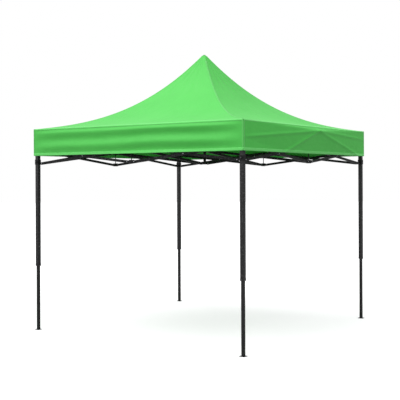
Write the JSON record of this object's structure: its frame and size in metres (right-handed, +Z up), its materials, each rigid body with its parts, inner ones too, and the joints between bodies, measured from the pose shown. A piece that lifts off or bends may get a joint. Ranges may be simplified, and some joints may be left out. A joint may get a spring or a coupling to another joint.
{
  "type": "pop up canopy",
  "caption": "Square pop-up canopy with a folding scissor-truss steel frame, telescoping legs and a peaked fabric roof with a hanging valance.",
  "frame": {"origin": "on the ground under the centre mast", "axes": "+Z up, -Y towards the front side, legs at the corners along X and Y"},
  "size_m": [3.002, 3.013, 3.415],
  "materials": {
    "green_fabric": "coated woven polyester, satin",
    "black_leg_steel": "hammered black powder coat",
    "black_bar_steel": "black powder coat, satin",
    "black_plastic": "moulded, matt",
    "button_plastic": "moulded, satin"
  },
  "bodies": {
    "centre_hub": {"upper_hub": "black_plastic", "canopy": "green_fabric"},
    "front_upper_hub_bar": {"front_upper_hub_bar": "black_bar_steel"},
    "front_lower_hub_bar": {"front_lower_hub_bar": "black_bar_steel"},
    "front_upper_connector": {"front_upper_connector": "black_plastic"},
    "front_lower_connector": {"front_lower_connector": "black_plastic"},
    "lower_hub": {"lower_hub": "black_plastic", "mast": "black_leg_steel"},
    "front_right_slider_bar": {"front_right_slider_bar": "black_bar_steel"},
    "front_right_bracket_bar": {"front_right_bracket_bar": "black_bar_steel"},
    "front_right_leg": {"front_right_outer_leg": "black_leg_steel", "front_right_corner_bracket": "black_plastic"},
    "front_right_slider": {"front_right_slider": "black_plastic"},
    "front_right_inner_leg": {"front_right_inner_leg": "black_leg_steel"},
    "front_right_slider_button": {"front_right_slider_button": "button_plastic"},
    "front_right_leg_button": {"front_right_leg_button": "button_plastic"},
    "front_left_slider_bar": {"front_left_slider_bar": "black_bar_steel"},
    "front_left_bracket_bar": {"front_left_bracket_bar": "black_bar_steel"},
    "front_left_leg": {"front_left_outer_leg": "black_leg_steel", "front_left_corner_bracket": "black_plastic"},
    "front_left_slider": {"front_left_slider": "black_plastic"},
    "front_left_inner_leg": {"front_left_inner_leg": "black_leg_steel"},
    "front_left_slider_button": {"front_left_slider_button": "button_plastic"},
    "front_left_leg_button": {"front_left_leg_button": "button_plastic"},
    "right_upper_hub_bar": {"right_upper_hub_bar": "black_bar_steel"},
    "right_lower_hub_bar": {"right_lower_hub_bar": "black_bar_steel"},
    "right_upper_connector": {"right_upper_connector": "black_plastic"},
    "right_lower_connector": {"right_lower_connector": "black_plastic"},
    "right_front_slider_bar": {"right_front_slider_bar": "black_bar_steel"},
    "right_front_bracket_bar": {"right_front_bracket_bar": "black_bar_steel"},
    "right_back_slider_bar": {"right_back_slider_bar": "black_bar_steel"},
    "right_back_bracket_bar": {"right_back_bracket_bar": "black_bar_steel"},
    "back_upper_hub_bar": {"back_upper_hub_bar": "black_bar_steel"},
    "back_lower_hub_bar": {"back_lower_hub_bar": "black_bar_steel"},
    "back_upper_connector": {"back_upper_connector": "black_plastic"},
    "back_lower_connector": {"back_lower_connector": "black_plastic"},
    "back_right_slider_bar": {"back_right_slider_bar": "black_bar_steel"},
    "back_right_bracket_bar": {"back_right_bracket_bar": "black_bar_steel"},
    "back_right_leg": {"back_right_outer_leg": "black_leg_steel", "back_right_corner_bracket": "black_plastic"},
    "back_right_slider": {"back_right_slider": "black_plastic"},
    "back_right_inner_leg": {"back_right_inner_leg": "black_leg_steel"},
    "back_right_slider_button": {"back_right_slider_button": "button_plastic"},
    "back_right_leg_button": {"back_right_leg_button": "button_plastic"},
    "back_left_slider_bar": {"back_left_slider_bar": "black_bar_steel"},
    "back_left_bracket_bar": {"back_left_bracket_bar": "black_bar_steel"},
    "back_left_leg": {"back_left_outer_leg": "black_leg_steel", "back_left_corner_bracket": "black_plastic"},
    "back_left_slider": {"back_left_slider": "black_plastic"},
    "back_left_inner_leg": {"back_left_inner_leg": "black_leg_steel"},
    "back_left_slider_button": {"back_left_slider_button": "button_plastic"},
    "back_left_leg_button": {"back_left_leg_button": "button_plastic"},
    "left_upper_hub_bar": {"left_upper_hub_bar": "black_bar_steel"},
    "left_lower_hub_bar": {"left_lower_hub_bar": "black_bar_steel"},
    "left_upper_connector": {"left_upper_connector": "black_plastic"},
    "left_lower_connector": {"left_lower_connector": "black_plastic"},
    "left_front_slider_bar": {"left_front_slider_bar": "black_bar_steel"},
    "left_front_bracket_bar": {"left_front_bracket_bar": "black_bar_steel"},
    "left_back_slider_bar": {"left_back_slider_bar": "black_bar_steel"},
    "left_back_bracket_bar": {"left_back_bracket_bar": "black_bar_steel"}
  },
  "joints": [
    {"name": "truss_fold", "type": "hinge", "parent": "centre_hub", "child": "front_upper_hub_bar", "pos_m": [0.008, -0.065, 2.18], "axis": [1, 0, 0], "range_deg": [0, 80]},
    {"name": "front_hub_bars_crossing", "type": "hinge", "parent": "front_upper_hub_bar", "child": "front_lower_hub_bar", "pos_m": [0, -0.7405, 2.1025], "axis": [-1, 0, 0], "range_deg": [0, 160]},
    {"name": "front_lower_connector_pivot", "type": "hinge", "parent": "front_upper_hub_bar", "child": "front_lower_connector", "pos_m": [0.008, -1.416, 2.025], "axis": [-1, 0, 0], "range_deg": [0, 80]},
    {"name": "front_upper_connector_pivot", "type": "hinge", "parent": "front_lower_hub_bar", "child": "front_upper_connector", "pos_m": [-0.008, -1.416, 2.18], "axis": [1, 0, 0], "range_deg": [0, 80]},
    {"name": "lower_hub_pivot", "type": "hinge", "parent": "front_lower_hub_bar", "child": "lower_hub", "pos_m": [-0.008, -0.065, 2.025], "axis": [1, 0, 0], "range_deg": [0, 80]},
    {"name": "front_right_slider_bar_pivot", "type": "hinge", "parent": "front_upper_connector", "child": "front_right_slider_bar", "pos_m": [0.05, -1.458, 2.18], "axis": [0, 1, 0], "range_deg": [0, 80]},
    {"name": "front_right_bracket_bar_pivot", "type": "hinge", "parent": "front_lower_connector", "child": "front_right_bracket_bar", "pos_m": [0.05, -1.474, 2.025], "axis": [0, -1, 0], "range_deg": [0, 80]},
    {"name": "front_right_bracket_pivot", "type": "hinge", "parent": "front_right_bracket_bar", "child": "front_right_leg", "pos_m": [1.401, -1.474, 2.18], "axis": [0, 1, 0], "range_deg": [0, 80]},
    {"name": "front_right_slider_pivot", "type": "hinge", "parent": "front_right_slider_bar", "child": "front_right_slider", "pos_m": [1.401, -1.458, 2.025], "axis": [0, -1, 0], "range_deg": [0, 80]},
    {"name": "front_right_leg_extension", "type": "slide", "parent": "front_right_leg", "child": "front_right_inner_leg", "axis": [0, 0, 1], "range_m": [0, 0.74]},
    {"name": "front_right_slider_button_press", "type": "slide", "parent": "front_right_slider", "child": "front_right_slider_button", "axis": [0, 1, 0], "range_m": [0, 0.004], "stiffness_N_per_m": 600, "springref_m": -0.002},
    {"name": "front_right_leg_button_press", "type": "slide", "parent": "front_right_leg", "child": "front_right_leg_button", "axis": [0, 1, 0], "range_m": [0, 0.0025], "stiffness_N_per_m": 600, "springref_m": -0.002},
    {"name": "front_left_slider_bar_pivot", "type": "hinge", "parent": "front_upper_connector", "child": "front_left_slider_bar", "pos_m": [-0.05, -1.458, 2.18], "axis": [0, -1, 0], "range_deg": [0, 80]},
    {"name": "front_left_bracket_bar_pivot", "type": "hinge", "parent": "front_lower_connector", "child": "front_left_bracket_bar", "pos_m": [-0.05, -1.474, 2.025], "axis": [0, 1, 0], "range_deg": [0, 80]},
    {"name": "front_left_bracket_pivot", "type": "hinge", "parent": "front_left_bracket_bar", "child": "front_left_leg", "pos_m": [-1.401, -1.474, 2.18], "axis": [0, -1, 0], "range_deg": [0, 80]},
    {"name": "front_left_slider_pivot", "type": "hinge", "parent": "front_left_slider_bar", "child": "front_left_slider", "pos_m": [-1.401, -1.458, 2.025], "axis": [0, 1, 0], "range_deg": [0, 80]},
    {"name": "front_left_leg_extension", "type": "slide", "parent": "front_left_leg", "child": "front_left_inner_leg", "axis": [0, 0, 1], "range_m": [0, 0.74]},
    {"name": "front_left_slider_button_press", "type": "slide", "parent": "front_left_slider", "child": "front_left_slider_button", "axis": [0, 1, 0], "range_m": [0, 0.004], "stiffness_N_per_m": 600, "springref_m": -0.002},
    {"name": "front_left_leg_button_press", "type": "slide", "parent": "front_left_leg", "child": "front_left_leg_button", "axis": [0, 1, 0], "range_m": [0, 0.0025], "stiffness_N_per_m": 600, "springref_m": -0.002},
    {"name": "right_upper_hub_bar_pivot", "type": "hinge", "parent": "centre_hub", "child": "right_upper_hub_bar", "pos_m": [0.065, 0.008, 2.18], "axis": [0, 1, 0], "range_deg": [0, 80]},
    {"name": "right_hub_bars_crossing", "type": "hinge", "parent": "right_upper_hub_bar", "child": "right_lower_hub_bar", "pos_m": [0.7405, 0, 2.1025], "axis": [0, -1, 0], "range_deg": [0, 160]},
    {"name": "right_lower_connector_pivot", "type": "hinge", "parent": "right_upper_hub_bar", "child": "right_lower_connector", "pos_m": [1.416, 0.008, 2.025], "axis": [0, -1, 0], "range_deg": [0, 80]},
    {"name": "right_upper_connector_pivot", "type": "hinge", "parent": "right_lower_hub_bar", "child": "right_upper_connector", "pos_m": [1.416, -0.008, 2.18], "axis": [0, 1, 0], "range_deg": [0, 80]},
    {"name": "right_front_slider_bar_pivot", "type": "hinge", "parent": "right_upper_connector", "child": "right_front_slider_bar", "pos_m": [1.458, -0.05, 2.18], "axis": [1, 0, 0], "range_deg": [0, 80]},
    {"name": "right_front_bracket_bar_pivot", "type": "hinge", "parent": "right_lower_connector", "child": "right_front_bracket_bar", "pos_m": [1.474, -0.05, 2.025], "axis": [-1, 0, 0], "range_deg": [0, 80]},
    {"name": "right_back_slider_bar_pivot", "type": "hinge", "parent": "right_upper_connector", "child": "right_back_slider_bar", "pos_m": [1.458, 0.05, 2.18], "axis": [-1, 0, 0], "range_deg": [0, 80]},
    {"name": "right_back_bracket_bar_pivot", "type": "hinge", "parent": "right_lower_connector", "child": "right_back_bracket_bar", "pos_m": [1.474, 0.05, 2.025], "axis": [1, 0, 0], "range_deg": [0, 80]},
    {"name": "back_upper_hub_bar_pivot", "type": "hinge", "parent": "centre_hub", "child": "back_upper_hub_bar", "pos_m": [-0.008, 0.065, 2.18], "axis": [-1, 0, 0], "range_deg": [0, 80]},
    {"name": "back_hub_bars_crossing", "type": "hinge", "parent": "back_upper_hub_bar", "child": "back_lower_hub_bar", "pos_m": [0, 0.7405, 2.1025], "axis": [1, 0, 0], "range_deg": [0, 160]},
    {"name": "back_lower_connector_pivot", "type": "hinge", "parent": "back_upper_hub_bar", "child": "back_lower_connector", "pos_m": [-0.008, 1.416, 2.025], "axis": [1, 0, 0], "range_deg": [0, 80]},
    {"name": "back_upper_connector_pivot", "type": "hinge", "parent": "back_lower_hub_bar", "child": "back_upper_connector", "pos_m": [0.008, 1.416, 2.18], "axis": [-1, 0, 0], "range_deg": [0, 80]},
    {"name": "back_right_slider_bar_pivot", "type": "hinge", "parent": "back_upper_connector", "child": "back_right_slider_bar", "pos_m": [0.05, 1.458, 2.18], "axis": [0, 1, 0], "range_deg": [0, 80]},
    {"name": "back_right_bracket_bar_pivot", "type": "hinge", "parent": "back_lower_connector", "child": "back_right_bracket_bar", "pos_m": [0.05, 1.474, 2.025], "axis": [0, -1, 0], "range_deg": [0, 80]},
    {"name": "back_right_bracket_pivot", "type": "hinge", "parent": "back_right_bracket_bar", "child": "back_right_leg", "pos_m": [1.401, 1.474, 2.18], "axis": [0, 1, 0], "range_deg": [0, 80]},
    {"name": "back_right_slider_pivot", "type": "hinge", "parent": "back_right_slider_bar", "child": "back_right_slider", "pos_m": [1.401, 1.458, 2.025], "axis": [0, -1, 0], "range_deg": [0, 80]},
    {"name": "back_right_leg_extension", "type": "slide", "parent": "back_right_leg", "child": "back_right_inner_leg", "axis": [0, 0, 1], "range_m": [0, 0.74]},
    {"name": "back_right_slider_button_press", "type": "slide", "parent": "back_right_slider", "child": "back_right_slider_button", "axis": [0, -1, 0], "range_m": [0, 0.004], "stiffness_N_per_m": 600, "springref_m": -0.002},
    {"name": "back_right_leg_button_press", "type": "slide", "parent": "back_right_leg", "child": "back_right_leg_button", "axis": [0, -1, 0], "range_m": [0, 0.0025], "stiffness_N_per_m": 600, "springref_m": -0.002},
    {"name": "back_left_slider_bar_pivot", "type": "hinge", "parent": "back_upper_connector", "child": "back_left_slider_bar", "pos_m": [-0.05, 1.458, 2.18], "axis": [0, -1, 0], "range_deg": [0, 80]},
    {"name": "back_left_bracket_bar_pivot", "type": "hinge", "parent": "back_lower_connector", "child": "back_left_bracket_bar", "pos_m": [-0.05, 1.474, 2.025], "axis": [0, 1, 0], "range_deg": [0, 80]},
    {"name": "back_left_bracket_pivot", "type": "hinge", "parent": "back_left_bracket_bar", "child": "back_left_leg", "pos_m": [-1.401, 1.474, 2.18], "axis": [0, -1, 0], "range_deg": [0, 80]},
    {"name": "back_left_slider_pivot", "type": "hinge", "parent": "back_left_slider_bar", "child": "back_left_slider", "pos_m": [-1.401, 1.458, 2.025], "axis": [0, 1, 0], "range_deg": [0, 80]},
    {"name": "back_left_leg_extension", "type": "slide", "parent": "back_left_leg", "child": "back_left_inner_leg", "axis": [0, 0, 1], "range_m": [0, 0.74]},
    {"name": "back_left_slider_button_press", "type": "slide", "parent": "back_left_slider", "child": "back_left_slider_button", "axis": [0, -1, 0], "range_m": [0, 0.004], "stiffness_N_per_m": 600, "springref_m": -0.002},
    {"name": "back_left_leg_button_press", "type": "slide", "parent": "back_left_leg", "child": "back_left_leg_button", "axis": [0, -1, 0], "range_m": [0, 0.0025], "stiffness_N_per_m": 600, "springref_m": -0.002},
    {"name": "left_upper_hub_bar_pivot", "type": "hinge", "parent": "centre_hub", "child": "left_upper_hub_bar", "pos_m": [-0.065, -0.008, 2.18], "axis": [0, -1, 0], "range_deg": [0, 80]},
    {"name": "left_hub_bars_crossing", "type": "hinge", "parent": "left_upper_hub_bar", "child": "left_lower_hub_bar", "pos_m": [-0.7405, 0, 2.1025], "axis": [0, 1, 0], "range_deg": [0, 160]},
    {"name": "left_lower_connector_pivot", "type": "hinge", "parent": "left_upper_hub_bar", "child": "left_lower_connector", "pos_m": [-1.416, -0.008, 2.025], "axis": [0, 1, 0], "range_deg": [0, 80]},
    {"name": "left_upper_connector_pivot", "type": "hinge", "parent": "left_lower_hub_bar", "child": "left_upper_connector", "pos_m": [-1.416, 0.008, 2.18], "axis": [0, -1, 0], "range_deg": [0, 80]},
    {"name": "left_front_slider_bar_pivot", "type": "hinge", "parent": "left_upper_connector", "child": "left_front_slider_bar", "pos_m": [-1.458, -0.05, 2.18], "axis": [1, 0, 0], "range_deg": [0, 80]},
    {"name": "left_front_bracket_bar_pivot", "type": "hinge", "parent": "left_lower_connector", "child": "left_front_bracket_bar", "pos_m": [-1.474, -0.05, 2.025], "axis": [-1, 0, 0], "range_deg": [0, 80]},
    {"name": "left_back_slider_bar_pivot", "type": "hinge", "parent": "left_upper_connector", "child": "left_back_slider_bar", "pos_m": [-1.458, 0.05, 2.18], "axis": [-1, 0, 0], "range_deg": [0, 80]},
    {"name": "left_back_bracket_bar_pivot", "type": "hinge", "parent": "left_lower_connector", "child": "left_back_bracket_bar", "pos_m": [-1.474, 0.05, 2.025], "axis": [1, 0, 0], "range_deg": [0, 80]}
  ],
  "couplings": [
    {"joint": "front_hub_bars_crossing", "follows": "truss_fold", "ratio": 2},
    {"joint": "front_lower_connector_pivot", "follows": "truss_fold", "ratio": 1},
    {"joint": "front_upper_connector_pivot", "follows": "truss_fold", "ratio": 1},
    {"joint": "lower_hub_pivot", "follows": "truss_fold", "ratio": 1},
    {"joint": "front_right_slider_bar_pivot", "follows": "truss_fold", "ratio": 1},
    {"joint": "front_right_bracket_bar_pivot", "follows": "truss_fold", "ratio": 1},
    {"joint": "front_right_bracket_pivot", "follows": "truss_fold", "ratio": 1},
    {"joint": "front_right_slider_pivot", "follows": "truss_fold", "ratio": 1},
    {"joint": "front_left_slider_bar_pivot", "follows": "truss_fold", "ratio": 1},
    {"joint": "front_left_bracket_bar_pivot", "follows": "truss_fold", "ratio": 1},
    {"joint": "front_left_bracket_pivot", "follows": "truss_fold", "ratio": 1},
    {"joint": "front_left_slider_pivot", "follows": "truss_fold", "ratio": 1},
    {"joint": "right_upper_hub_bar_pivot", "follows": "truss_fold", "ratio": 1},
    {"joint": "right_hub_bars_crossing", "follows": "truss_fold", "ratio": 2},
    {"joint": "right_lower_connector_pivot", "follows": "truss_fold", "ratio": 1},
    {"joint": "right_upper_connector_pivot", "follows": "truss_fold", "ratio": 1},
    {"joint": "right_front_slider_bar_pivot", "follows": "truss_fold", "ratio": 1},
    {"joint": "right_front_bracket_bar_pivot", "follows": "truss_fold", "ratio": 1},
    {"joint": "right_back_slider_bar_pivot", "follows": "truss_fold", "ratio": 1},
    {"joint": "right_back_bracket_bar_pivot", "follows": "truss_fold", "ratio": 1},
    {"joint": "back_upper_hub_bar_pivot", "follows": "truss_fold", "ratio": 1},
    {"joint": "back_hub_bars_crossing", "follows": "truss_fold", "ratio": 2},
    {"joint": "back_lower_connector_pivot", "follows": "truss_fold", "ratio": 1},
    {"joint": "back_upper_connector_pivot", "follows": "truss_fold", "ratio": 1},
    {"joint": "back_right_slider_bar_pivot", "follows": "truss_fold", "ratio": 1},
    {"joint": "back_right_bracket_bar_pivot", "follows": "truss_fold", "ratio": 1},
    {"joint": "back_right_bracket_pivot", "follows": "truss_fold", "ratio": 1},
    {"joint": "back_right_slider_pivot", "follows": "truss_fold", "ratio": 1},
    {"joint": "back_left_slider_bar_pivot", "follows": "truss_fold", "ratio": 1},
    {"joint": "back_left_bracket_bar_pivot", "follows": "truss_fold", "ratio": 1},
    {"joint": "back_left_bracket_pivot", "follows": "truss_fold", "ratio": 1},
    {"joint": "back_left_slider_pivot", "follows": "truss_fold", "ratio": 1},
    {"joint": "left_upper_hub_bar_pivot", "follows": "truss_fold", "ratio": 1},
    {"joint": "left_hub_bars_crossing", "follows": "truss_fold", "ratio": 2},
    {"joint": "left_lower_connector_pivot", "follows": "truss_fold", "ratio": 1},
    {"joint": "left_upper_connector_pivot", "follows": "truss_fold", "ratio": 1},
    {"joint": "left_front_slider_bar_pivot", "follows": "truss_fold", "ratio": 1},
    {"joint": "left_front_bracket_bar_pivot", "follows": "truss_fold", "ratio": 1},
    {"joint": "left_back_slider_bar_pivot", "follows": "truss_fold", "ratio": 1},
    {"joint": "left_back_bracket_bar_pivot", "follows": "truss_fold", "ratio": 1}
  ]
}
